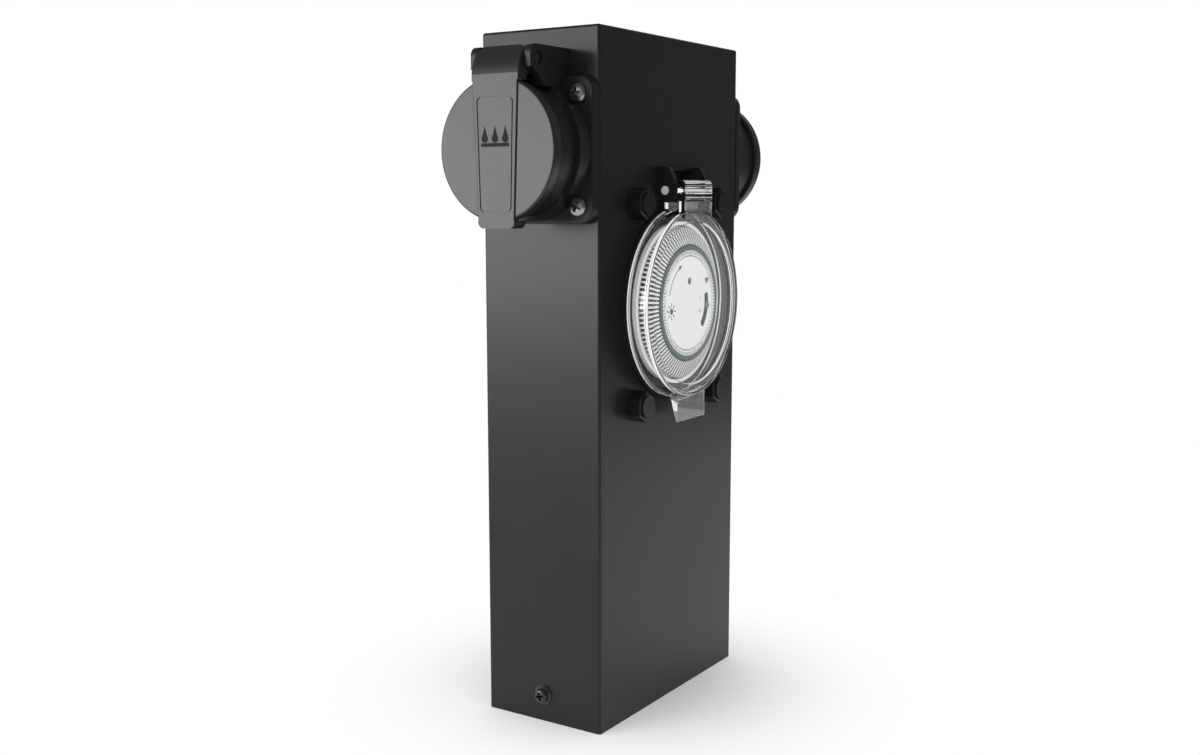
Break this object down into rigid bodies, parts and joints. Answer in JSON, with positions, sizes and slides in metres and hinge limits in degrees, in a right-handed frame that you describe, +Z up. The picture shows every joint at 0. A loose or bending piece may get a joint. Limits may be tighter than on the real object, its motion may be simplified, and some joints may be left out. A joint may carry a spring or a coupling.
{
  "type": "garden socket post",
  "caption": "Black steel garden post with a lidded outdoor socket on each narrow side and a dial timer under a clear hinged lid on its front.",
  "frame": {"origin": "middle of the post's footprint on the ground, at the foot of the cable entry", "axes": "+Z up, -Y out of the timer's front, -X and +X out of the left and right sockets"},
  "size_m": [0.151, 0.061, 0.25],
  "materials": {
    "powder_coat_black": "black powder coat, matt, fine texture, on sheet steel",
    "moulding_black": "black moulded polyamide, satin",
    "moulding_black_matt": "black moulded polyamide, matt",
    "lid_black": "black moulded polyamide, satin, of the socket lids",
    "rubber_black": "soft black rubber",
    "nylon_white": "off-white nylon",
    "steel_zinc": "zinc plated steel",
    "steel_bright": "bright stainless steel",
    "screw_black": "steel with a black finish",
    "nut_black": "black moulded cap nut",
    "spring_steel": "spring steel wire",
    "brass": "brass",
    "nickel": "nickel plated spring brass",
    "timer_white": "white moulded plastic",
    "timer_grey": "grey moulded plastic",
    "dial_grey": "pale grey moulded plastic",
    "carrier_grey": "pale grey moulded plastic of the dial's carrier",
    "dial_print": "pale grey plastic with a printed hour scale",
    "switch_green": "green moulded plastic",
    "clear_lid": "clear moulded polycarbonate"
  },
  "bodies": {
    "post": {"post_housing": "powder_coat_black", "base_bracket": "steel_zinc", "base_screws": "screw_black", "base_washers": "screw_black", "base_nuts": "steel_zinc", "cable_grommet": "rubber_black", "terminal_block": "nylon_white", "terminal_block_screws": "steel_zinc", "terminal_clamp_screws": "brass", "earth_screw": "steel_zinc", "earth_washer": "steel_zinc", "timer_gasket": "rubber_black", "timer_housing": "moulding_black", "timer_studs": "steel_zinc", "timer_cap_nuts": "nut_black", "timer_lid_seal": "rubber_black", "timer_lid_pin": "steel_bright", "timer_insert": "timer_white", "timer_movement": "timer_grey", "timer_centre_plate": "dial_grey", "left_socket_gasket": "rubber_black", "left_socket_housing": "moulding_black", "left_contact_carrier": "moulding_black_matt", "left_contact_sleeves": "brass", "left_earth_clips": "nickel", "left_terminal_screws": "steel_zinc", "left_flange_screws": "steel_bright", "left_flange_nuts": "steel_zinc", "left_lid_pin": "screw_black", "left_lid_spring": "spring_steel", "right_socket_gasket": "rubber_black", "right_socket_housing": "moulding_black", "right_contact_carrier": "moulding_black_matt", "right_contact_sleeves": "brass", "right_earth_clips": "nickel", "right_terminal_screws": "steel_zinc", "right_flange_screws": "steel_bright", "right_flange_nuts": "steel_zinc", "right_lid_pin": "screw_black", "right_lid_spring": "spring_steel"},
    "left_lid": {"left_socket_lid": "lid_black", "left_lid_seal": "rubber_black"},
    "right_lid": {"right_socket_lid": "lid_black", "right_lid_seal": "rubber_black"},
    "timer_lid": {"timer_lid": "clear_lid"},
    "dial": {"dial_carrier": "carrier_grey", "dial_tappets": "dial_grey", "hour_ring": "dial_print"},
    "tappet": {"set_tappet": "dial_grey"},
    "switch": {"override_switch": "switch_green"}
  },
  "joints": [
    {"name": "left_lid_hinge", "type": "hinge", "parent": "post", "child": "left_lid", "pos_m": [-0.0673, 0, 0.2382], "axis": [0, 1, 0], "range_deg": [0, 110], "stiffness_Nm_per_rad": 0.02, "springref_deg": -85.94},
    {"name": "right_lid_hinge", "type": "hinge", "parent": "post", "child": "right_lid", "pos_m": [0.0673, 0, 0.2382], "axis": [0, -1, 0], "range_deg": [0, 110], "stiffness_Nm_per_rad": 0.02, "springref_deg": -85.94},
    {"name": "timer_lid_hinge", "type": "hinge", "parent": "post", "child": "timer_lid", "pos_m": [0, -0.029, 0.1946], "axis": [-1, 0, 0], "range_deg": [0, 90]},
    {"name": "dial_turn", "type": "hinge", "parent": "post", "child": "dial", "pos_m": [0, -0.025, 0.153], "axis": [0, -1, 0], "continuous": true},
    {"name": "tappet_slide", "type": "slide", "parent": "dial", "child": "tappet", "axis": [0, 1, 0], "range_m": [0, 0.0008]},
    {"name": "switch_lever", "type": "hinge", "parent": "post", "child": "switch", "pos_m": [0, -0.025, 0.153], "axis": [0, -1, 0], "range_deg": [-32, 16]}
  ]
}
